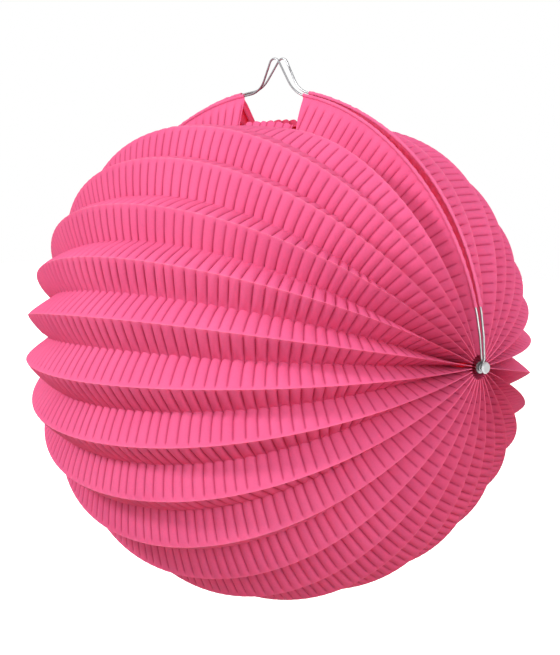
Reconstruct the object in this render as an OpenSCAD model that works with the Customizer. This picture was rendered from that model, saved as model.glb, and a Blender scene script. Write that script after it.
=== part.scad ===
// Round accordion paper lantern: pleats from pole to pole round a level fold axis, two bent wires
// with hanger peaks, a pivot rivet at each pole and a tin candle seat on the lowest inner fold.
// Millimetres. The origin is the hang point, inside the top of the two hanger peaks.
// X runs along the fold axis, -Y is the front, +Z is up.

/* [Ball] */
// radius of the pleat ridges
ball_r = 120; // [110:1:122]
// height of the hanger peaks above the ridges
peak_h = 16.5; // [14:0.5:20]

/* [Pleats] */
// angle from straight up to the first ridge, degrees
first_deg = 27.3; // [22:0.1:30]
// angle from the first ridge to the last, degrees
span_deg = 301.4; // [298:0.1:310]
// how far the ridges drift toward the back, degrees
drift_deg = 8.3; // [0:0.1:9]
// how much closer the pleats sit at both ends of the sheet, degrees
close_deg = 2.1; // [0:0.1:3]
// small unevenness of the pleats, degrees
uneven_deg = 0.8; // [0:0.1:1]
// angle from straight up to the fold below each end panel, degrees
end_fold_deg = 7.3; // [6:0.1:9]
// depth of the pleats halfway between the poles
depth_mid = 10.3; // [9:0.1:12]
// depth of the pleats at the poles
depth_pole = 13.8; // [12:0.1:15]
// thickness of the crimped paper
paper_t = 0.3; // [0.25:0.01:0.4]
// slit along each inner fold between two pleats
fold_gap = 0.2; // [0.15:0.01:0.3]
// distance from the fold axis at which the paper stops
hole_r = 5; // [4.5:0.1:6]

/* [End panels] */
// half width of the notch at the hem
notch_top = 18; // [16:0.5:18.5]
// half width of the notch at its lower edge
notch_low = 15; // [12:0.5:15]
// wall between the wire and the paper of the hem
hem_gap = 0.05; // [0.04:0.01:0.1]
// angle from the pole at which the hem stops and the wire is bare, degrees
hem_end_deg = 12.8; // [12.6:0.1:16]

/* [Wires] */
// wire thickness
wire_d = 1; // [0.9:0.05:1.1]
// tilt of each wire from the upright plane, degrees
wire_tilt = 1.7; // [1.5:0.1:2]
// extra radius of the front wire over the ridges
front_over = 0.6; // [0.5:0.1:0.8]
// extra radius of the back wire over the ridges
back_over = 1.9; // [1.8:0.1:2.2]
// centre line radius of the rounded tip
tip_r = 3.2; // [2.8:0.1:3.6]
// centre line radius of the flare at the foot of the peak
flare_r = 13; // [11:0.5:14]
// angle from straight up at which the peak leaves the half circle, degrees
peak_deg = 8.2; // [8:0.1:9]

/* [Pole rivets] */
// shank radius
rivet_r = 1; // [0.9:0.05:1.1]
// head radius
rivet_head_r = 2.7; // [2.5:0.1:3]
// head thickness
rivet_head_t = 0.7; // [0.5:0.1:0.9]
// play between the shank and the back wire's eye
eye_play = 0.08; // [0.06:0.01:0.1]
// how much tighter than the shank the front wire's eye is
eye_press = 0.05; // [0.03:0.01:0.06]

/* [Candle seat] */
// bore radius of the candle cup
cup_r = 6; // [5.5:0.1:6.5]
// inner depth of the candle cup
cup_h = 12; // [10:0.5:14]
// sheet thickness
tin_t = 0.4; // [0.35:0.01:0.5]
// width of the slits in the cup
cup_slit = 1.2; // [0.8:0.1:1.5]
// radius of the drip dish
dish_r = 13; // [11:0.5:14]
// height of the rim of the drip dish
dish_rim = 2; // [1.5:0.1:2.5]
// width of the seat strip
strip_w = 9; // [7:0.5:10]
// distance of each turned-over end from the middle
strip_x = 20; // [18:0.5:22]
// space between the seat strip and the fold below it
strip_rise = 1; // [0.9:0.1:1.2]

/* [Hidden] */
$fn = 32;
PLEATS = 25;
STEPS = 24;
wire_r = wire_d / 2;
tip_z = ball_r + peak_h;
axis_z = wire_r - tip_z;
stop_deg = asin(hole_r / (ball_r - depth_pole));
front_r = ball_r + front_over;
back_r = ball_r + back_over;
sleeve_in = wire_r + hem_gap;
sleeve_out = sleeve_in + paper_t;
end_depth = depth_mid + 2.7;
knee = 4;
eye_turn = 290;
SIDES = 10;
pink = [0.95, 0.33, 0.56];
steel = [0.66, 0.66, 0.67];
tin = [0.74, 0.74, 0.72];

// place of a ridge along the sheet, from 0 at the front to 1 at the back
function along(k) = (k - 1) / (PLEATS - 1);

// ridge angle from straight up, turning toward the front
function ridge_deg(k) =
  first_deg + span_deg * along(k)
  + drift_deg * sin(180 * along(k))
  - close_deg * sin(360 * along(k))
  - uneven_deg * sin(720 * along(k));

// inner fold after ridge k; fold 0 and the last one lie below the end panels
function fold_deg(k) =
  k == 0 ? end_fold_deg
  : k == PLEATS ? 360 - end_fold_deg
  : (ridge_deg(k) + ridge_deg(k + 1)) / 2;

function is_end(k) = k == 0 || k == PLEATS;

// depth of inner fold k at angle s from the right pole
function depth(k, s) =
  depth_pole + ((is_end(k) ? end_depth : depth_mid) - depth_pole) * sin(s);

// a point at radius r, angle s from the right pole, on the half plane at angle deg
function on_ball(r, s, deg) =
  [r * cos(s), -r * sin(s) * sin(deg), axis_z + r * sin(s) * cos(deg)];

// half of the slit along a fold, as an angle at radius r
function slit_deg(r, s) = fold_gap / 2 / (r * sin(s)) * 180 / PI;

// paper thickness measured toward the axis, for a panel of this depth and angular width
function lift(d, s, wide) =
  let (across = ball_r * sin(s) * wide * PI / 180)
  min(paper_t * sqrt(d * d + across * across) / across, 0.5 * d);

// the six corners of a pleat at angle s: outer face from fold to ridge to fold, then the inner face
function pleat_ring(k, s) =
  let (ra = ball_r - depth(k - 1, s))
  let (rb = ball_r - depth(k, s))
  let (a = fold_deg(k - 1) + slit_deg(ra, s))
  let (b = fold_deg(k) - slit_deg(rb, s))
  let (m = ridge_deg(k))
  let (t = lift(depth_mid, s, min(m - fold_deg(k - 1), fold_deg(k) - m)))
  [
    on_ball(ra, s, a),
    on_ball(ball_r, s, m),
    on_ball(rb, s, b),
    on_ball(rb - t, s, b),
    on_ball(ball_r - t, s, m),
    on_ball(ra - t, s, a)
  ];

// angle of ring i out of STEPS, from first to the same distance short of the other pole
function ring_deg(i, first) = first + (180 - 2 * first) * i / STEPS;

// triangles between ring i and the next, for rings of n points; the inner half of a ring is split
// along the same diagonals as the outer half, so that the paper is equally thick all over
function side_faces(n) = [
  for (i = [0 : STEPS - 1])
    for (j = [0 : n - 1])
      for (h = [0 : 1])
        let (a = i * n + j, b = i * n + (j + 1) % n)
          let (c = b + n, d = a + n)
            j < n / 2
            ? (h == 0 ? [a, b, c] : [a, c, d])
            : (h == 0 ? [a, b, d] : [b, c, d])
];

// cap triangles, turned over at the far end
function cap_faces(tris, n) = concat(
  [for (t = tris) [t[2], t[1], t[0]]],
  [for (t = tris) [t[0] + STEPS * n, t[1] + STEPS * n, t[2] + STEPS * n]]
);

pleat_cap = [[0, 1, 4], [0, 4, 5], [1, 2, 3], [1, 3, 4]];

module pleat_sheet(k) {
  polyhedron(
    points = [
      for (i = [0 : STEPS])
        for (p = pleat_ring(k, ring_deg(i, stop_deg)))
          p
    ],
    faces = concat(side_faces(6), cap_faces(pleat_cap, 6)),
    convexity = 8
  );
}

// openings in the lowest inner fold for the turned-over ends of the seat strip
module seat_slots() {
  for (side = [-1, 1])
    translate([side * strip_x, 0, axis_z - ball_r + depth_mid])
      cube([1.6, 3, 8], center = true);
}

// half panel between the wire and fold 0; side 1 is the front, -1 the back
function strip_ring(s, side, rw) =
  let (rv = ball_r - depth(0, s))
  let (v = end_fold_deg - slit_deg(rv, s))
  let (ro = min(s, 180 - s) < hem_end_deg - 1 ? ball_r - 1 : rw - sleeve_in)
  let (half = min(paper_t, 0.25 * rv * sin(s) * (v - wire_tilt) * PI / 180) / 2)
  let (w = half / (ro * sin(s)) * 180 / PI)
  [
    on_ball(rv, s, side * (v - 2 * w)),
    on_ball(ro, s, side * (wire_tilt - w)),
    on_ball(ro, s, side * (wire_tilt + w)),
    on_ball(rv, s, side * v)
  ];

strip_cap = [[0, 1, 2], [0, 2, 3]];

// a corner of the hem at angle a round the wire, at distance d from its centre line
function hem_point(s, side, rw, a, d) =
  let (c = on_ball(rw, s, side * wire_tilt))
  let (out = [cos(s), -sin(s) * sin(side * wire_tilt), sin(s) * cos(wire_tilt)])
  let (across = side * [0, -cos(wire_tilt), -sin(side * wire_tilt)])
  c + d * (cos(a) * out + sin(a) * across);

HEM = 10;

function hem_ring(s, side, rw) = concat(
  [for (j = [0 : HEM]) hem_point(s, side, rw, 170 + 330 * j / HEM, sleeve_out)],
  [for (j = [HEM : -1 : 0]) hem_point(s, side, rw, 170 + 330 * j / HEM, sleeve_in)]
);

hem_cap = [
  for (j = [0 : HEM - 1])
    for (h = [0 : 1])
      h == 0 ? [j, j + 1, 2 * HEM - j] : [j, 2 * HEM - j, 2 * HEM + 1 - j]
];

// the faces are turned over on the back, which is the mirror image of the front
function turned(f, side) = side > 0 ? f : [for (t = f) [t[2], t[1], t[0]]];

module end_panel(side, rw) {
  difference() {
    union() {
      polyhedron(
        points = [
          for (i = [0 : STEPS])
            for (p = strip_ring(ring_deg(i, stop_deg), side, rw))
              p
        ],
        faces = turned(concat(side_faces(4), cap_faces(strip_cap, 4)), side),
        convexity = 8
      );
      polyhedron(
        points = [
          for (i = [0 : STEPS])
            for (p = hem_ring(ring_deg(i, hem_end_deg), side, rw))
              p
        ],
        faces = turned(concat(side_faces(2 * HEM + 2), cap_faces(hem_cap, 2 * HEM + 2)), side),
        convexity = 8
      );
    }
    notch();
  }
}

// the notch at the top, open upward, that leaves a narrow strip of paper along the fold
module notch() {
  low = ball_r - end_depth + 2;
  translate([0, 40, axis_z])
    rotate([90, 0, 0])
      linear_extrude(80)
        polygon([
          [-notch_low, low],
          [notch_low, low],
          [notch_top, front_r],
          [notch_top, front_r + 10],
          [-notch_top, front_r + 10],
          [-notch_top, front_r]
        ]);
}

// points on an arc in the XZ plane, without the first: centre, radius, start angle from +X, sweep
function arc(at, r, from, sweep, n) = [
  for (i = [1 : n])
    at + r * [cos(from + sweep * i / n), 0, sin(from + sweep * i / n)]
];

// right half of a wire's centre line: top of the tip, leg, flare, quarter circle, then the eye
function half_path(rw, eye_c) =
  let (tip = [0, 0, tip_z - tip_r])
  let (flare = (rw + flare_r) * [sin(peak_deg), 0, cos(peak_deg)])
  let (gap = norm(flare - tip))
  let (leg = atan2(tip[2] - flare[2], flare[0]) + asin((tip_r + flare_r) / gap))
  let (low_deg = asin(knee / rw))
  let (eye_x = rw * cos(low_deg))
  let (touch = acos(eye_c / knee))
  concat(
    arc(tip, tip_r, 90, -leg, 5),
    [flare + flare_r * [cos(270 - leg), 0, sin(270 - leg)]],
    arc(flare, flare_r, 270 - leg, leg - peak_deg, 6),
    arc([0, 0, 0], rw, 90 - peak_deg, peak_deg + low_deg - 90, 17),
    [
      for (i = [0 : 14])
        [
          eye_x,
          eye_c * sin(touch + eye_turn * i / 14),
          eye_c * cos(touch + eye_turn * i / 14)
        ]
    ]
  );

// the whole centre line from the left eye over the tip to the right eye
function wire_path(rw, eye_c) =
  let (half = half_path(rw, eye_c))
  concat(
    [for (i = [len(half) - 1 : -1 : 0]) [-half[i][0], half[i][1], half[i][2]]],
    [[0, 0, tip_z]],
    half
  );

function unit(v) = v / norm(v);

// direction of the centre line at point i
function heading(p, i) = unit(p[min(i + 1, len(p) - 1)] - p[max(i - 1, 0)]);

// one side direction per point, each turned as little as possible from the one before
function side_dirs(p) = [
  for (
    i = 0, u = unit(cross(heading(p, 0), [1, 0, 0.01]));
    i < len(p);
    i = i + 1,
    u = i < len(p) ? unit(u - (u * heading(p, i)) * heading(p, i)) : u
  )
    u
];

// a bent wire of round section along the centre line p
module bent_wire(p) {
  dirs = side_dirs(p);
  n = len(p);
  polyhedron(
    points = [
      for (i = [0 : n - 1])
        let (t = heading(p, i), u = dirs[i], v = cross(t, u))
          for (j = [0 : SIDES - 1])
            p[i] + wire_r * (cos(360 * j / SIDES) * u + sin(360 * j / SIDES) * v)
    ],
    faces = concat(
      [[for (j = [0 : SIDES - 1]) j]],
      [[for (j = [SIDES - 1 : -1 : 0]) (n - 1) * SIDES + j]],
      [
        for (i = [0 : n - 2])
          for (j = [0 : SIDES - 1])
            for (h = [0 : 1])
              let (k = (j + 1) % SIDES)
                h == 0
                ? [i * SIDES + j, (i + 1) * SIDES + j, (i + 1) * SIDES + k]
                : [i * SIDES + j, (i + 1) * SIDES + k, i * SIDES + k]
      ]
    ),
    convexity = 10
  );
}

module wire_front() {
  color(steel)
    translate([0, 0, axis_z])
      rotate([wire_tilt, 0, 0])
        bent_wire(wire_path(front_r, rivet_r - eye_press + wire_r));
}

module wire_back() {
  color(steel)
    translate([0, 0, axis_z])
      rotate([-wire_tilt, 0, 0])
        mirror([0, 1, 0])
          bent_wire(wire_path(back_r, rivet_r + eye_play + wire_r));
}

module end_panel_front() {
  color(pink)
    end_panel(1, front_r);
}

module end_panel_back() {
  color(pink)
    end_panel(-1, back_r);
}

module pleat_01() {
  color(pink)
    pleat_sheet(1);
}

module pleat_02() {
  color(pink)
    pleat_sheet(2);
}

module pleat_03() {
  color(pink)
    pleat_sheet(3);
}

module pleat_04() {
  color(pink)
    pleat_sheet(4);
}

module pleat_05() {
  color(pink)
    pleat_sheet(5);
}

module pleat_06() {
  color(pink)
    pleat_sheet(6);
}

module pleat_07() {
  color(pink)
    pleat_sheet(7);
}

module pleat_08() {
  color(pink)
    pleat_sheet(8);
}

module pleat_09() {
  color(pink)
    pleat_sheet(9);
}

module pleat_10() {
  color(pink)
    pleat_sheet(10);
}

module pleat_11() {
  color(pink)
    pleat_sheet(11);
}

module pleat_12() {
  color(pink)
    difference() {
      pleat_sheet(12);
      seat_slots();
    }
}

module pleat_13() {
  color(pink)
    difference() {
      pleat_sheet(13);
      seat_slots();
    }
}

module pleat_14() {
  color(pink)
    pleat_sheet(14);
}

module pleat_15() {
  color(pink)
    pleat_sheet(15);
}

module pleat_16() {
  color(pink)
    pleat_sheet(16);
}

module pleat_17() {
  color(pink)
    pleat_sheet(17);
}

module pleat_18() {
  color(pink)
    pleat_sheet(18);
}

module pleat_19() {
  color(pink)
    pleat_sheet(19);
}

module pleat_20() {
  color(pink)
    pleat_sheet(20);
}

module pleat_21() {
  color(pink)
    pleat_sheet(21);
}

module pleat_22() {
  color(pink)
    pleat_sheet(22);
}

module pleat_23() {
  color(pink)
    pleat_sheet(23);
}

module pleat_24() {
  color(pink)
    pleat_sheet(24);
}

module pleat_25() {
  color(pink)
    pleat_sheet(25);
}

// rivet through both eyes, with a head inside and one outside
module pole_rivet(side) {
  inner = front_r - wire_r - rivet_head_t - 0.2;
  outer = back_r + wire_r + 0.3;
  translate([0, 0, axis_z])
    rotate([0, side * 90, 0]) {
      translate([0, 0, inner])
        cylinder(h = outer + rivet_head_t - inner, r = rivet_r, $fn = 40);
      translate([0, 0, inner])
        cylinder(h = rivet_head_t, r = rivet_head_r, $fn = 48);
      translate([0, 0, outer])
        cylinder(h = rivet_head_t, r1 = rivet_head_r, r2 = rivet_head_r - 0.5, $fn = 48);
    }
}

module pole_rivet_right() {
  color(steel)
    pole_rivet(1);
}

module pole_rivet_left() {
  color(steel)
    pole_rivet(-1);
}

// the seat is built downward from the fold axis; strip_out is the outer radius of the strip
strip_out = ball_r - depth_mid - 0.6 - strip_rise;
dish_z = axis_z - strip_out + tin_t;

// pressed foot of the cup: narrower, so that the candle stands clear of the rivet head
foot_h = 0.75;

// tin tube with a closed foot and slits in its upper part
module candle_cup() {
  color(tin)
    translate([0, 0, dish_z + tin_t])
      difference() {
        cylinder(h = cup_h + foot_h + tin_t, r = cup_r + tin_t, $fn = 64);
        translate([0, 0, tin_t + foot_h])
          cylinder(h = cup_h + 1, r = cup_r, $fn = 64);
        translate([0, 0, tin_t])
          cylinder(h = foot_h + 1, r = cup_r - 0.8, $fn = 64);
        for (a = [30, 150, 270])
          rotate([0, 0, a])
            translate([0, -cup_slit / 2, tin_t + cup_h / 2])
              cube([cup_r + 2, cup_slit, cup_h]);
        translate([0, 0, -1])
          cylinder(h = 3, r = 1.3, $fn = 32);
      }
}

// shallow dish that catches the wax
module drip_dish() {
  color(tin)
    translate([0, 0, dish_z])
      difference() {
        rotate_extrude($fn = 96)
          polygon([
            [1.3, 0],
            [dish_r - 2, 0],
            [dish_r, dish_rim],
            [dish_r - tin_t, dish_rim],
            [dish_r - 2 - tin_t * 0.6, tin_t],
            [1.3, tin_t]
          ]);
      }
}

// bowed strip under the dish; each end goes down through the fold and is turned over outside
module seat_strip() {
  color(tin)
    translate([0, 0, axis_z]) {
      difference() {
        intersection() {
          rotate([90, 0, 0])
            translate([0, 0, -strip_w / 2])
              difference() {
                cylinder(h = strip_w, r = strip_out, $fn = 240);
                translate([0, 0, -1])
                  cylinder(h = strip_w + 2, r = strip_out - tin_t, $fn = 240);
              }
          translate([-strip_x - tin_t / 2, -strip_w, -strip_out - 1])
            cube([2 * strip_x + tin_t, 2 * strip_w, 20]);
        }
        translate([0, 0, -strip_out - 2])
          cylinder(h = 5, r = 1.3, $fn = 32);
      }
      for (side = [-1, 1]) {
        low = -ball_r + depth_mid - 1.9;
        top = -sqrt(pow(strip_out, 2) - pow(strip_x, 2)) + 0.2;
        translate([side * strip_x - tin_t / 2, -1, low])
          cube([tin_t, 2, top - low]);
        translate([side > 0 ? strip_x - tin_t / 2 : -strip_x + tin_t / 2 - 4.4, -1, low])
          cube([4.4, 2, tin_t]);
      }
    }
}

// rivet that holds cup, dish and strip together
module seat_rivet() {
  color(steel)
    translate([0, 0, dish_z]) {
      translate([0, 0, -tin_t - 0.5])
        cylinder(h = 3 * tin_t + 1, r = 1.25, $fn = 32);
      translate([0, 0, 2 * tin_t])
        cylinder(h = 0.6, r1 = 2.4, r2 = 1.6, $fn = 40);
      translate([0, 0, -tin_t - 0.5])
        cylinder(h = 0.48, r = 2.2, $fn = 40);
    }
}

wire_front();
wire_back();
end_panel_front();
end_panel_back();
pleat_01();
pleat_02();
pleat_03();
pleat_04();
pleat_05();
pleat_06();
pleat_07();
pleat_08();
pleat_09();
pleat_10();
pleat_11();
pleat_12();
pleat_13();
pleat_14();
pleat_15();
pleat_16();
pleat_17();
pleat_18();
pleat_19();
pleat_20();
pleat_21();
pleat_22();
pleat_23();
pleat_24();
pleat_25();
pole_rivet_right();
pole_rivet_left();
candle_cup();
drip_dish();
seat_strip();
seat_rivet();
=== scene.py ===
import copy
import math

import bpy
import numpy as np
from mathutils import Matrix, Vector


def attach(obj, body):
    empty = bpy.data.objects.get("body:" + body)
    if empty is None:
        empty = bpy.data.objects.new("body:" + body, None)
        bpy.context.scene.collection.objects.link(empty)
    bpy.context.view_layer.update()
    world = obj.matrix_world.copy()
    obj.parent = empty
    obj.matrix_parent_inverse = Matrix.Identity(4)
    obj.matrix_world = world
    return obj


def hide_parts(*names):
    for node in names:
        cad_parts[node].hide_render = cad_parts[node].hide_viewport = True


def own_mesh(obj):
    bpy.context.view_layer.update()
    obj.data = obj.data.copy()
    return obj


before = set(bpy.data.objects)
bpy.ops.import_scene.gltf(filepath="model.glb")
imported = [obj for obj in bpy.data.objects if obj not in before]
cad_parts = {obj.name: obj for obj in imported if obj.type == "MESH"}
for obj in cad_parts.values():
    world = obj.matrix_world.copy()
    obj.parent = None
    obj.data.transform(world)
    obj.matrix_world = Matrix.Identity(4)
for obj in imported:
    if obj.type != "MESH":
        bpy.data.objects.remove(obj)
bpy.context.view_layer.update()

# ---------------------------------------------------------------- shape, in metres
R = 0.120  # ridge radius
AXIS_Z = -0.136  # height of the fold axis; the hang point is the origin
CENTRE = np.array([0, 0, AXIS_Z])
PLEATS = 25
RIBS = 68  # cross crimps from pole to pole
POLE = 2.7  # degrees of the open ring round each pole
PAPER = 0.00022  # thickness of a sheet
TILT = 1.7  # degrees between each wire's plane and upright, as the frame has them
FIRST_RIDGE = 27.3  # degrees from upright to the first full ridge
RIDGE_SPAN = 301.4  # degrees from the first full ridge to the last
END_FOLD = 5.0  # degrees from upright to the fold under each end sheet
# the shallow extra ridge and fold beside each end fold, as shares of the way from it to the next full ridge
CROWN, DIP = 0.43, 0.72
POLE_DEPTH = 0.0138  # depth of every fold below the ridges at the poles
MID_DEPTH = 0.0103  # the same halfway between the poles
END_DEPTH = 0.0156  # the same for the end folds
RIB = 0.0017  # depth of a crimp at the inner folds
END_RIB = 0.0012  # depth of a crimp in the end sheets
HEM = 0.00084  # radius of the paper turned round a wire
RNG = np.random.RandomState(7)


def ridge_angle(k):
    u = (k - 1) / (PLEATS - 1)
    uneven = 8.3 * math.sin(math.pi * u) - 2.1 * math.sin(2 * math.pi * u) - 0.8 * math.sin(4 * math.pi * u)
    return FIRST_RIDGE + RIDGE_SPAN * u + uneven


def fold_angle(k):
    if k == 0:
        return END_FOLD
    if k == PLEATS:
        return 360 - END_FOLD
    return (ridge_angle(k) + ridge_angle(k + 1)) / 2


def fold_depth(k, s):
    mid = END_DEPTH if k in (0, PLEATS) else MID_DEPTH
    return POLE_DEPTH + (mid - POLE_DEPTH) * np.sin(s)


def on_ball(r, s, deg):
    """Points at radius r and angle s from the right pole, deg degrees forward of straight up."""
    a = np.radians(deg)
    return np.stack([r * np.cos(s), -r * np.sin(s) * np.sin(a), AXIS_Z + r * np.sin(s) * np.cos(a)], axis=-1)


def radial(s, deg):
    a = np.radians(deg) + 0 * s
    return np.stack([0 * s, -np.sin(a), np.cos(a)], axis=-1)


def smooth(x, a, b):
    t = np.clip((x - a) / (b - a), 0, 1)
    return t * t * (3 - 2 * t)


def lean(s, height):
    """Degrees between a wire and upright: the two wires all but touch at the top and part lower down."""
    turn = np.degrees(np.abs(s - math.pi / 2))
    return 0.62 + 1.4 * smooth(turn, 12, 48) + 0.6 * smooth(height, 0.119, 0.136)


def wave(s, size, cycles, rng):
    """A slow seeded wobble along a meridian, zero at both poles."""
    out = 0 * s
    for n in range(1, cycles + 1):
        out = out + rng.normal() / n ** 0.5 * np.sin(n * s + rng.uniform(0, 6.28))
    return size * out * np.sin(s)


# crimp lines: the same ones cross every pleat, with a little drift from line to line
SUB = np.array([0.0, 0.09, 0.28, 0.5, 0.72, 0.91])
rib_at = np.concatenate([j + SUB for j in range(RIBS)] + [[RIBS]])
rib_u = rib_at % 1.0
rib_no = np.minimum(rib_at.astype(int), RIBS - 1)
rib_round = np.sin(np.pi * rib_u) ** 0.75
LINES = 2 * PLEATS + 1  # fold 0, ridge 1, fold 1 ... ridge 25, fold 25
drift = np.cumsum(RNG.normal(0, 0.012, (LINES, RIBS + 1)), axis=0)
drift -= drift.mean(axis=0)
drift = np.clip(drift + RNG.normal(0, 0.03, RIBS + 1), -0.22, 0.22)
drift[:, 0] = drift[:, -1] = 0
height = 1 + np.clip(RNG.normal(0, 0.08, (LINES, RIBS)), -0.2, 0.2)
height = 0.5 * height + 0.5 * (1 + RNG.normal(0, 0.08, RIBS))
span = math.radians(180 - 2 * POLE)


def line_s(n):
    """Angle from the right pole of every column, on line n."""
    at = np.interp(rib_at, np.arange(RIBS + 1), np.arange(RIBS + 1) + drift[n])
    return math.radians(POLE) + span * at / RIBS


class Line:
    """One fold or ridge line: its points, and how a crimp moves them."""

    def __init__(self, n):
        rng = np.random.RandomState(100 + n)
        self.s = line_s(n)
        self.k = (n + 1) // 2
        is_fold = n % 2 == 0
        if is_fold:
            self.deg = fold_angle(self.k) + wave(self.s, 0.10, 4, rng)
            self.r = R - fold_depth(self.k, self.s) + wave(self.s, 0.0002, 5, rng)
            if n in (0, LINES - 1):
                self.deg = fold_angle(self.k) + 0 * self.s
        else:
            self.deg = ridge_angle(self.k) + wave(self.s, 0.16, 4, rng)
            self.r = R + wave(self.s, 0.00022, 6, rng) - 0.0002
        # at an inner fold the bulges of one panel run on over the other:
        # over the panel above low down, over the one below near the top
        turn = min(fold_angle(self.k), 360 - fold_angle(self.k)) if is_fold else 0
        self.over = (1 if turn > 66 else -1) * (1 if self.k * 2 < PLEATS + 1 else -1)
        self.high = height[n][rib_no]
        self.place()

    def place(self):
        """Points and directions, from the line's angles and radii."""
        self.p = on_ball(self.r, self.s, self.deg)
        self.out = radial(self.s, self.deg)
        a = np.radians(self.deg)
        climb = np.stack([0 * self.s, np.cos(a), np.sin(a)], axis=-1)
        self.way = 0.60 * self.out + 0.82 * self.over * climb


lines = [Line(n) for n in range(LINES)]


def extra_line(end, ridge, share, depth, over):
    """A crease between an end fold and the first full ridge beside it."""
    line = copy.copy(end)
    line.over = over
    line.deg = end.deg + (ridge.deg - end.deg) * share
    line.r = R - depth
    line.place()
    return line


def extra_pair(end, ridge, over):
    """The shallow ridge and fold beside an end fold. The ridge sinks at the notch."""
    sink = 0.0015 + 0.0102 * np.sin(end.s) ** 14
    shallow = POLE_DEPTH + (0.0072 - POLE_DEPTH) * np.sin(end.s)
    return extra_line(end, ridge, CROWN, sink, over), extra_line(end, ridge, DIP, shallow, over)


crowns = {1: extra_pair(lines[0], lines[1], -1), PLEATS: extra_pair(lines[-1], lines[-2], 1)}
ROWS = np.array([0.0, 0.025, 0.07, 0.16, 0.32, 0.52, 0.72, 0.89, 1.0])  # from ridge to fold


def panel(ridge, fold, side):
    """Rows of points of one panel, from ridge to fold. side is 1 where the fold comes after the ridge."""
    a, b = ridge.p[None], fold.p[None]
    v = ROWS[:, None, None]
    base = a + (b - a) * v
    across = fold.p - ridge.p
    along = np.gradient(ridge.p + fold.p, axis=0)
    normal = np.cross(along, across) * side
    normal /= np.maximum(np.linalg.norm(normal, axis=1), 1e-9)[:, None]
    flip = np.sign((normal * (ridge.p - CENTRE)).sum(axis=1))
    flip[flip == 0] = 1
    normal *= flip[:, None]
    # crimps are shallower where the panel narrows toward the poles
    gap = np.radians(np.abs(fold.deg - ridge.deg)) * R * np.sin(ridge.s)
    size = np.minimum(RIB, 0.16 * gap)
    strong = 1.0 if fold.over == side else 0.62
    f = v[:, :, 0]
    g = 0.08 + 0.92 * (1 - np.exp(-f / 0.10))
    g = g * (strong + (1 - strong) * smooth(f, 0.8, 1.0))
    high = ridge.high[None] * (1 - f) + fold.high[None] * f
    lift = size[None] * g * high * (rib_round[None] - 0.6)
    w = smooth(v, 0.75, 1.0)
    way = normal[None] * (1 - w) + fold.way[None] * w
    near = 1 - smooth(v, 0.0, 0.09)
    way = way * (1 - near) + ridge.out[None] * near
    belly = np.minimum(0.0004, 0.04 * gap)[None, :, None] * np.sin(np.pi * v)
    return base + way * lift[:, :, None] + normal[None] * belly


def shell_faces(rows, cols, flip):
    """Faces of a closed sheet: its outer grid, the inner grid after it, and the walls round the rim."""
    i, j = np.meshgrid(np.arange(rows - 1), np.arange(cols - 1), indexing="ij")
    q = np.stack([i * cols + j, i * cols + j + 1, (i + 1) * cols + j + 1, (i + 1) * cols + j], axis=-1)
    q = q.reshape(-1, 4)
    rim = np.concatenate([
        np.arange(cols),
        np.arange(1, rows) * cols + cols - 1,
        (rows - 1) * cols + np.arange(cols - 2, -1, -1),
        np.arange(rows - 2, 0, -1) * cols,
    ])
    nxt = np.roll(rim, -1)
    m = rows * cols
    wall = np.stack([nxt, rim, rim + m, nxt + m], axis=-1)
    if flip:
        q, wall = q[:, ::-1], wall[:, ::-1]
    return np.concatenate([q, q[:, ::-1] + m, wall])


def slab(name, grids, crests, bulges):
    """A closed sheet of paper for each grid of outer points, in one mesh, with its crest and bulge values."""
    verts, faces = [], []
    for grid in grids:
        rows, cols = grid.shape[:2]
        n = np.cross(np.gradient(grid, axis=1), np.gradient(grid, axis=0))
        n /= np.maximum(np.linalg.norm(n, axis=2), 1e-12)[:, :, None]
        flip = (n * (grid - CENTRE)).sum() < 0
        if flip:
            n = -n
        faces.append(shell_faces(rows, cols, flip) + sum(len(v) for v in verts))
        verts += [grid.reshape(-1, 3), (grid - n * PAPER).reshape(-1, 3)]
    crest = np.concatenate([c.reshape(-1) for c in crests for _ in range(2)])
    bulge = np.concatenate([b.reshape(-1) for b in bulges for _ in range(2)])
    return build(name, np.concatenate(verts), np.concatenate(faces), {"crest": crest, "bulge": bulge})


def build(name, verts, faces, fields, sharp=38):
    mesh = bpy.data.meshes.new(name)
    mesh.from_pydata(verts.tolist(), [], faces.tolist())
    for key, value in fields.items():
        mesh.attributes.new(key, "FLOAT", "POINT").data.foreach_set("value", np.asarray(value, np.float32))
    mesh.polygons.foreach_set("use_smooth", [True] * len(mesh.polygons))
    mesh.update()
    mesh.set_sharp_from_angle(angle=math.radians(sharp))
    obj = bpy.data.objects.new(name, mesh)
    bpy.context.scene.collection.objects.link(obj)
    return obj


# ---------------------------------------------------------------- materials
def new_material(name):
    mat = bpy.data.materials.new(name)
    mat.use_nodes = True
    nt = mat.node_tree
    nt.nodes.clear()
    out = nt.nodes.new("ShaderNodeOutputMaterial")
    return mat, nt, out


def node(nt, kind, **values):
    n = nt.nodes.new(kind)
    for k, v in values.items():
        if hasattr(n, k):
            setattr(n, k, v)
        else:
            n.inputs[k.replace("_", " ")].default_value = v
    return n


def srgb(r, g, b):
    def lin(c):
        c /= 255
        return c / 12.92 if c <= 0.04045 else ((c + 0.055) / 1.055) ** 2.4
    return (lin(r), lin(g), lin(b), 1)


def ramp(nt, source, stops):
    n = nt.nodes.new("ShaderNodeValToRGB")
    n.color_ramp.elements[0].position, n.color_ramp.elements[0].color = stops[0]
    n.color_ramp.elements[1].position, n.color_ramp.elements[1].color = stops[-1]
    for pos, col in stops[1:-1]:
        e = n.color_ramp.elements.new(pos)
        e.color = col
    nt.links.new(source, n.inputs[0])
    return n.outputs[0]


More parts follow.
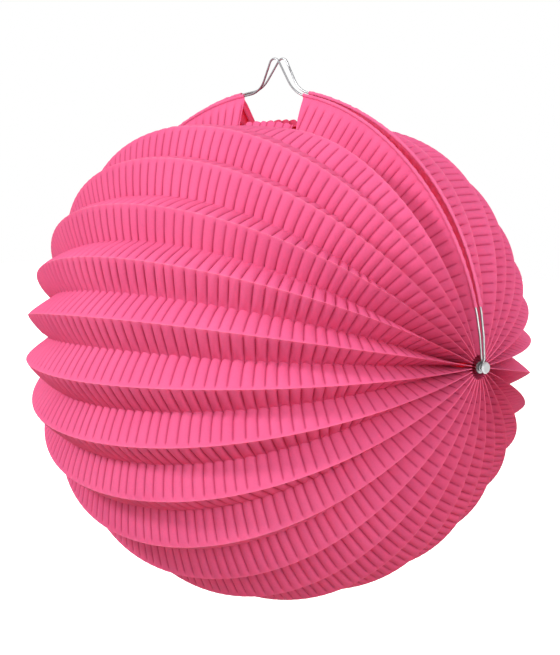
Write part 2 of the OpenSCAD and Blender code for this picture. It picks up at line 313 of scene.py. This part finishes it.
def mix(nt, kind, fac, a, b):
    n = nt.nodes.new("ShaderNodeMix")
    n.data_type, n.blend_type = "RGBA", kind
    for s, v in ((n.inputs[0], fac), (n.inputs[6], a), (n.inputs[7], b)):
        if isinstance(v, bpy.types.NodeSocket):
            nt.links.new(v, s)
        else:
            s.default_value = v
    return n.outputs[2]


def paper_material():
    mat, nt, out = new_material("pink_paper")
    pos = node(nt, "ShaderNodeTexCoord").outputs["Object"]
    cloud = node(nt, "ShaderNodeTexNoise", Scale=28.0, Detail=3.0, Roughness=0.6)
    fibre = node(nt, "ShaderNodeTexNoise", Scale=900.0, Detail=4.0, Roughness=0.7)
    speck = node(nt, "ShaderNodeTexNoise", Scale=2600.0, Detail=2.0, Roughness=0.5)
    for n in (cloud, fibre, speck):
        nt.links.new(pos, n.inputs["Vector"])
    body = ramp(nt, cloud.outputs["Fac"], [(0.3, srgb(244, 112, 168)), (0.7, srgb(249, 122, 177))])
    mottle = ramp(nt, fibre.outputs["Fac"], [(0.32, (0.80, 0.76, 0.78, 1)), (0.62, (1, 1, 1, 1))])
    body = mix(nt, "MULTIPLY", 0.22, body, mottle)
    # painted shade: where the bulge value is low, in the crimp grooves, the colour is darkened toward a dusky
    # pink, standing in for the shade between the bulges
    bulge = node(nt, "ShaderNodeAttribute", attribute_name="bulge").outputs["Fac"]
    painted_groove_shade = ramp(nt, bulge, [(0.0, (0.8, 0.8, 0.8, 1)), (0.55, (0, 0, 0, 1))])
    body = mix(nt, "MULTIPLY", painted_groove_shade, body, srgb(214, 140, 166))
    # painted highlight: the ridge crests, by the crest value, are lightened toward pale pink and broken into
    # short streaks by noise
    crest = node(nt, "ShaderNodeAttribute", attribute_name="crest").outputs["Fac"]
    crest_highlight_noise = node(nt, "ShaderNodeTexNoise", Scale=420.0, Detail=3.0, Roughness=0.6)
    nt.links.new(pos, crest_highlight_noise.inputs["Vector"])
    amount = node(nt, "ShaderNodeMath", operation="MULTIPLY")
    nt.links.new(crest, amount.inputs[0])
    crest_highlight_breakup = ramp(nt, crest_highlight_noise.outputs["Fac"], [(0.30, (0.25, 0.25, 0.25, 1)), (0.65, (1, 1, 1, 1))])
    nt.links.new(crest_highlight_breakup, amount.inputs[1])
    body = mix(nt, "MIX", amount.outputs[0], body, srgb(255, 168, 204))
    bump = node(nt, "ShaderNodeBump", Strength=0.16, Distance=0.00012)
    both = node(nt, "ShaderNodeMath", operation="ADD")
    nt.links.new(fibre.outputs["Fac"], both.inputs[0])
    nt.links.new(speck.outputs["Fac"], both.inputs[1])
    nt.links.new(both.outputs[0], bump.inputs["Height"])
    p = node(nt, "ShaderNodeBsdfPrincipled")
    p.inputs["Specular IOR Level"].default_value = 0.22
    nt.links.new(body, p.inputs["Base Color"])
    matt = ramp(nt, fibre.outputs["Fac"], [(0.3, (0.62, 0.62, 0.62, 1)), (0.7, (0.80, 0.80, 0.80, 1))])
    nt.links.new(matt, p.inputs["Roughness"])
    nt.links.new(bump.outputs[0], p.inputs["Normal"])
    t = node(nt, "ShaderNodeBsdfTranslucent")
    nt.links.new(mix(nt, "MULTIPLY", 1.0, body, srgb(255, 92, 112)), t.inputs["Color"])
    nt.links.new(bump.outputs[0], t.inputs["Normal"])
    m = node(nt, "ShaderNodeMixShader")
    m.inputs[0].default_value = 0.42
    nt.links.new(p.outputs[0], m.inputs[1])
    nt.links.new(t.outputs[0], m.inputs[2])
    nt.links.new(m.outputs[0], out.inputs["Surface"])
    return mat


def metal_material(name, dark, light, rough, scale, stretch):
    mat, nt, out = new_material(name)
    pos = node(nt, "ShaderNodeTexCoord").outputs["Object"]
    place = node(nt, "ShaderNodeMapping")
    place.inputs["Scale"].default_value = stretch
    nt.links.new(pos, place.inputs["Vector"])
    grain = node(nt, "ShaderNodeTexNoise", Scale=scale, Detail=4.0, Roughness=0.6)
    nt.links.new(place.outputs[0], grain.inputs["Vector"])
    patch = node(nt, "ShaderNodeTexNoise", Scale=scale / 9, Detail=2.0)
    nt.links.new(pos, patch.inputs["Vector"])
    p = node(nt, "ShaderNodeBsdfPrincipled")
    p.inputs["Metallic"].default_value = 1.0
    colour = mix(nt, "MIX", patch.outputs["Fac"], dark, light)
    nt.links.new(colour, p.inputs["Base Color"])
    smoother, rougher = (rough - 0.08,) * 3 + (1,), (rough + 0.12,) * 3 + (1,)
    polish = ramp(nt, grain.outputs["Fac"], [(0.3, smoother), (0.7, rougher)])
    nt.links.new(polish, p.inputs["Roughness"])
    bump = node(nt, "ShaderNodeBump", Strength=0.12, Distance=0.00005)
    nt.links.new(grain.outputs["Fac"], bump.inputs["Height"])
    nt.links.new(bump.outputs[0], p.inputs["Normal"])
    nt.links.new(p.outputs[0], out.inputs["Surface"])
    return mat


paper = paper_material()
wire_steel = metal_material(
    "drawn_steel", (0.24, 0.24, 0.25, 1), (0.38, 0.38, 0.39, 1), rough=0.34, scale=3000, stretch=(1, 1, 1))
rivet_steel = metal_material(
    "rivet_steel", (0.34, 0.34, 0.35, 1), (0.52, 0.52, 0.53, 1), rough=0.40, scale=2200, stretch=(1, 1, 1))
tin = metal_material(
    "tinned_sheet", (0.62, 0.62, 0.60, 1), (0.80, 0.80, 0.78, 1), rough=0.30, scale=900, stretch=(1, 1, 8))


def dress(obj, mat):
    obj.data.materials.clear()
    obj.data.materials.append(mat)


# ---------------------------------------------------------------- pleats
# how much painted highlight each row gets, strongest on the ridge line
CREST_ROW = np.interp(ROWS, [0.0, 0.025, 0.07, 1.0], [0.55, 0.12, 0.0, 0.0])


def pleat_creases(k):
    """The folds and ridges of one pleat in turn, from a fold to a fold."""
    before, ridge, after = lines[2 * k - 2], lines[2 * k - 1], lines[2 * k]
    if k not in crowns:
        return [before, ridge, after]
    crown, dip = crowns[k]
    return [before, crown, dip, ridge, after] if k == 1 else [before, ridge, dip, crown, after]


def pleat_piece(k):
    """One pleat of the lantern, as one closed sheet from a fold over its ridge to the next fold."""
    parts, rows, crests = [], [], []
    creases = pleat_creases(k)
    for i, (upper, lower) in enumerate(zip(creases, creases[1:])):
        start = 0 if i == 0 else 1
        if i % 2 == 0:  # from a fold to a ridge
            parts.append(panel(lower, upper, -1)[::-1][start:])
            rows.append(ROWS[::-1][start:])
            crests.append(CREST_ROW[::-1][start:])
        else:
            parts.append(panel(upper, lower, 1)[start:])
            rows.append(ROWS[start:])
            crests.append(CREST_ROW[start:])
    grid = np.concatenate(parts)
    crest = np.repeat(np.concatenate(crests)[:, None], len(rib_at), axis=1)
    # bulge value: 1 on the crimp tops, lower in the grooves, where the paper colour paints shade
    bulge = 1 - (1 - rib_round[None]) * smooth(np.concatenate(rows)[:, None], 0.02, 0.12)
    obj = slab("pleat_sheet_%02d" % k, [grid], [crest], [bulge])
    dress(obj, paper)
    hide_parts("pleat_%02d" % k)
    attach(obj, "pleat_body_%02d" % k)
    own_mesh(obj)


for k in range(1, PLEATS + 1):
    pleat_piece(k)

# ---------------------------------------------------------------- end panels
E_ROWS = np.array([0.0, 0.06, 0.14, 0.28, 0.46, 0.64, 0.82, 0.94, 1.0])


def end_panel(side, rw, cuts):
    """The half panel between a wire and its end fold: a crimped strip, open at the top notch.

    cuts holds the notch's right and left ends at the hem, then the same at the fold."""
    fold = lines[0] if side > 0 else lines[LINES - 1]
    s = fold.s
    hem = on_ball(rw + 0 * s, s, side * lean(s, 0 * s))
    v = E_ROWS[:, None, None]
    base = hem[None] + (fold.p - hem)[None] * v
    normal = np.cross(np.gradient(hem + fold.p, axis=0), fold.p - hem)
    normal /= np.maximum(np.linalg.norm(normal, axis=1), 1e-9)[:, None]
    if (normal[:, 1] * -side).sum() < 0:
        normal = -normal
    gap = np.radians(5.6) * R * np.sin(s)
    grown = smooth(v[:, :, 0], 0.02, 0.35)
    lift = np.minimum(END_RIB, 0.16 * gap)[None] * grown * (rib_round[None] - 0.55)
    low = smooth(v, 0.7, 1.0)
    grid = base + (normal[None] * (1 - low) + 1.2 * fold.out[None] * low) * lift[:, :, None]
    # bulge value for the painted shade in the crimp grooves
    bulge = 1 - (1 - rib_round[None]) * grown
    grids, bulges = [], []

    def take(lo, hi, rows):
        """The columns whose x at the hem lies between lo and hi, moved to meet those ends."""
        part = grid[rows]
        at = np.where((base[0, :, 0] <= hi[0] + 0.001) & (base[0, :, 0] >= lo[0] - 0.001))[0]
        piece = part[:, at].copy()
        for r, row in enumerate(rows):
            f = E_ROWS[row]
            a, b = lo[0] + (lo[1] - lo[0]) * f, hi[0] + (hi[1] - hi[0]) * f
            xs = piece[r, :, 0]
            fresh = np.clip(xs, a, b)
            order = np.argsort(part[r][:, 0])
            for c in (1, 2):
                cut_at = np.interp(fresh, part[r][order, 0], part[r][order, c])
                piece[r, :, c] = np.where(fresh != xs, cut_at, piece[r, :, c])
            piece[r, :, 0] = fresh
        grids.append(piece)
        bulges.append(bulge[rows][:, at])

    right, left, low_right, low_left = cuts
    every = list(range(len(E_ROWS)))
    end_x = R * math.cos(math.radians(POLE)) + 0.01
    take((right, low_right), (end_x, end_x), every)
    take((-end_x, -end_x), (-left, -low_left), every)
    lowest = [r for r in every if E_ROWS[r] >= 0.82]
    take((-left, -low_left), (right, low_right), lowest)
    return grids, bulges


def hem_grid(side, rw, s0, s1, rng):
    """The paper turned over the wire, as a slightly uneven flattened sleeve."""
    n = max(8, int(math.degrees(s1 - s0) * 2.4))
    s = np.linspace(s0, s1, n)
    c = on_ball(rw + 0 * s, s, side * lean(s, 0 * s))
    out = (c - CENTRE) / rw
    tilt = math.radians(TILT)
    across = side * np.array([0, -math.cos(tilt), -side * math.sin(tilt)])
    turn = np.radians(np.linspace(150, 530, 17))[:, None, None]
    ripple = 0.00008 * np.sin(s * 140 + rng.uniform(0, 6)) + 0.00006 * rng.normal(size=n)
    size = (HEM + ripple)[None, :, None]
    return c[None] + size * (np.cos(turn) * out[None] * 1.05 + np.sin(turn) * across)


def hem_piece(name, grid):
    """A closed sleeve from its outer grid."""
    centre = grid.mean(axis=0, keepdims=True)
    spoke = grid - centre
    inner = grid - spoke / np.maximum(np.linalg.norm(spoke, axis=2, keepdims=True), 1e-9) * 0.00016
    flip = np.cross(grid[0, 1] - grid[0, 0], grid[1, 0] - grid[0, 0]) @ spoke[0, 0] < 0
    verts = np.concatenate([grid.reshape(-1, 3), inner.reshape(-1, 3)])
    # the hems carry a faint, even painted highlight through the crest value
    fields = {"crest": np.full(len(verts), 0.16), "bulge": np.ones(len(verts))}
    obj = build(name, verts, shell_faces(*grid.shape[:2], flip), fields, sharp=60)
    dress(obj, paper)
    return obj


HEM_END = math.radians(12.8)  # the hems stop short of the poles, where the wires are bare
for name, body, side, rw, cuts in (
    ("end_sheet_front", "front_frame", 1, 0.1206, (0.0167, 0.0207, 0.0182, 0.0133)),
    ("end_sheet_back", "back_frame", -1, 0.1219, (0.0180, 0.0247, 0.0182, 0.0201)),
):
    rng = np.random.RandomState(31 if side > 0 else 37)
    grids, bulges = end_panel(side, rw, cuts)
    flat = slab(name, grids, [0 * b for b in bulges], bulges)
    spans = (HEM_END, math.acos(cuts[0] / rw)), (math.acos(-cuts[1] / rw), math.pi - HEM_END)
    for i, (lo, hi) in enumerate(spans):
        tube = hem_piece("%s_hem_%d" % (name, i), hem_grid(side, rw, lo, hi, rng))
        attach(tube, body)
    dress(flat, paper)
    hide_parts("end_panel_front" if side > 0 else "end_panel_back")
    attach(flat, body)
    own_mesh(flat)

# ---------------------------------------------------------------- wires
for name, body, side in (("wire_front", "front_frame", 1), ("wire_back", "back_frame", -1)):
    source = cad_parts[name]
    obj = source.copy()
    obj.data = source.data.copy()
    obj.name = name.replace("wire", "drawn_wire")
    bpy.context.scene.collection.objects.link(obj)
    to_world = np.array(source.matrix_world)
    co = np.empty(len(obj.data.vertices) * 3)
    obj.data.vertices.foreach_get("co", co)
    co = co.reshape(-1, 3) @ to_world[:3, :3].T + to_world[:3, 3]
    tall = co[:, 2] - AXIS_Z
    s = np.arctan2(tall, co[:, 0])
    upper = np.clip(tall, 0, None)
    # moved from its plain tilt in the frame to the lean that the hems have
    co[:, 1] += side * upper * (np.sin(np.radians(TILT)) - np.sin(np.radians(lean(s, tall))))
    co = (co - to_world[:3, 3]) @ np.linalg.inv(to_world[:3, :3]).T
    obj.data.vertices.foreach_set("co", co.reshape(-1))
    obj.data.update()
    dress(obj, wire_steel)
    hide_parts(name)
    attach(obj, body)

# ---------------------------------------------------------------- carried-over nodes
for name, mat in (
    ("pole_rivet_right", rivet_steel), ("pole_rivet_left", rivet_steel),
    ("seat_rivet", rivet_steel), ("candle_cup", tin), ("drip_dish", tin), ("seat_strip", tin),
):
    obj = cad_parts[name]
    if not obj.material_slots:
        obj.data.materials.append(mat)
    for place in obj.material_slots:
        place.material = mat

# ---------------------------------------------------------------- stage, light and camera
FLOOR_Z = -0.75
floor_mesh = bpy.data.meshes.new("floor")
corners = [(x, y, FLOOR_Z) for x, y in ((-6, -6), (6, -6), (6, 6), (-6, 6))]
floor_mesh.from_pydata(corners, [], [(0, 1, 2, 3)])
floor = bpy.data.objects.new("floor", floor_mesh)
bpy.context.scene.collection.objects.link(floor)
mat, nt, out = new_material("pale_floor")
p = node(nt, "ShaderNodeBsdfPrincipled")
p.inputs["Base Color"].default_value = (0.93, 0.93, 0.93, 1)
p.inputs["Roughness"].default_value = 0.9
p.inputs["Emission Color"].default_value = (1, 1, 1, 1)
p.inputs["Emission Strength"].default_value = 0.75
nt.links.new(p.outputs[0], out.inputs["Surface"])
dress(floor, mat)
floor.visible_diffuse = False

world = bpy.data.worlds.new("studio")
bpy.context.scene.world = world
world.use_nodes = True
nt = world.node_tree
background = nt.nodes.get("Background")
split = node(nt, "ShaderNodeSeparateXYZ")
nt.links.new(node(nt, "ShaderNodeTexCoord").outputs["Generated"], split.inputs[0])
height_map = node(nt, "ShaderNodeMapRange")
height_map.inputs["From Min"].default_value = -1
nt.links.new(split.outputs["Z"], height_map.inputs["Value"])
# even light from the sides and above, and little from below
below, level = (0.17, 0.17, 0.17, 1), (1, 1, 1, 1)
dome = ramp(nt, height_map.outputs[0], [(0.38, below), (0.44, level), (1.0, level)])
nt.links.new(dome, background.inputs["Color"])
# what the camera sees past the floor stays white, as the floor does
seen = node(nt, "ShaderNodeMapRange")
seen.inputs["To Min"].default_value = 0.98
seen.inputs["To Max"].default_value = 1.0
nt.links.new(node(nt, "ShaderNodeLightPath").outputs["Is Camera Ray"], seen.inputs["Value"])
nt.links.new(seen.outputs[0], background.inputs["Strength"])


def area_light(name, at, size, power):
    light = bpy.data.lights.new(name, "AREA")
    light.shape = "DISK"
    light.size = size
    light.energy = power
    obj = bpy.data.objects.new(name, light)
    bpy.context.scene.collection.objects.link(obj)
    obj.location = at
    obj.rotation_mode = "QUATERNION"
    obj.rotation_quaternion = (Vector((0, 0, AXIS_Z)) - Vector(at)).to_track_quat("-Z", "Y")
    return obj


area_light("key", (-0.60, -1.35, 0.85), 0.35, 17)
area_light("fill", (1.45, -0.75, 0.25), 0.9, 12)

AZ, EL, FAR = math.radians(41.5), math.radians(6.6), 10 * R
LENS = 138.559  # mm, on a sensor whose longer side is 36 mm
back = Vector((math.sin(AZ) * math.cos(EL), -math.cos(AZ) * math.cos(EL), math.sin(EL)))
right = Vector((math.cos(AZ), math.sin(AZ), 0))
up = back.cross(right)
centre = Vector((0, 0, AXIS_Z))
camera_data = bpy.data.cameras.new("camera")
camera_data.sensor_width = 36.0
camera_data.lens = LENS
camera = bpy.data.objects.new("camera", camera_data)
bpy.context.scene.collection.objects.link(camera)
camera.location = centre + back * FAR
aim = centre + right * 0.00062 + up * 0.00923
camera.rotation_mode = "QUATERNION"
camera.rotation_quaternion = (aim - camera.location).to_track_quat("-Z", "Y")
camera_data.clip_start, camera_data.clip_end = 0.01, 50
bpy.context.scene.camera = camera
bpy.context.scene.view_settings.view_transform = "Standard"
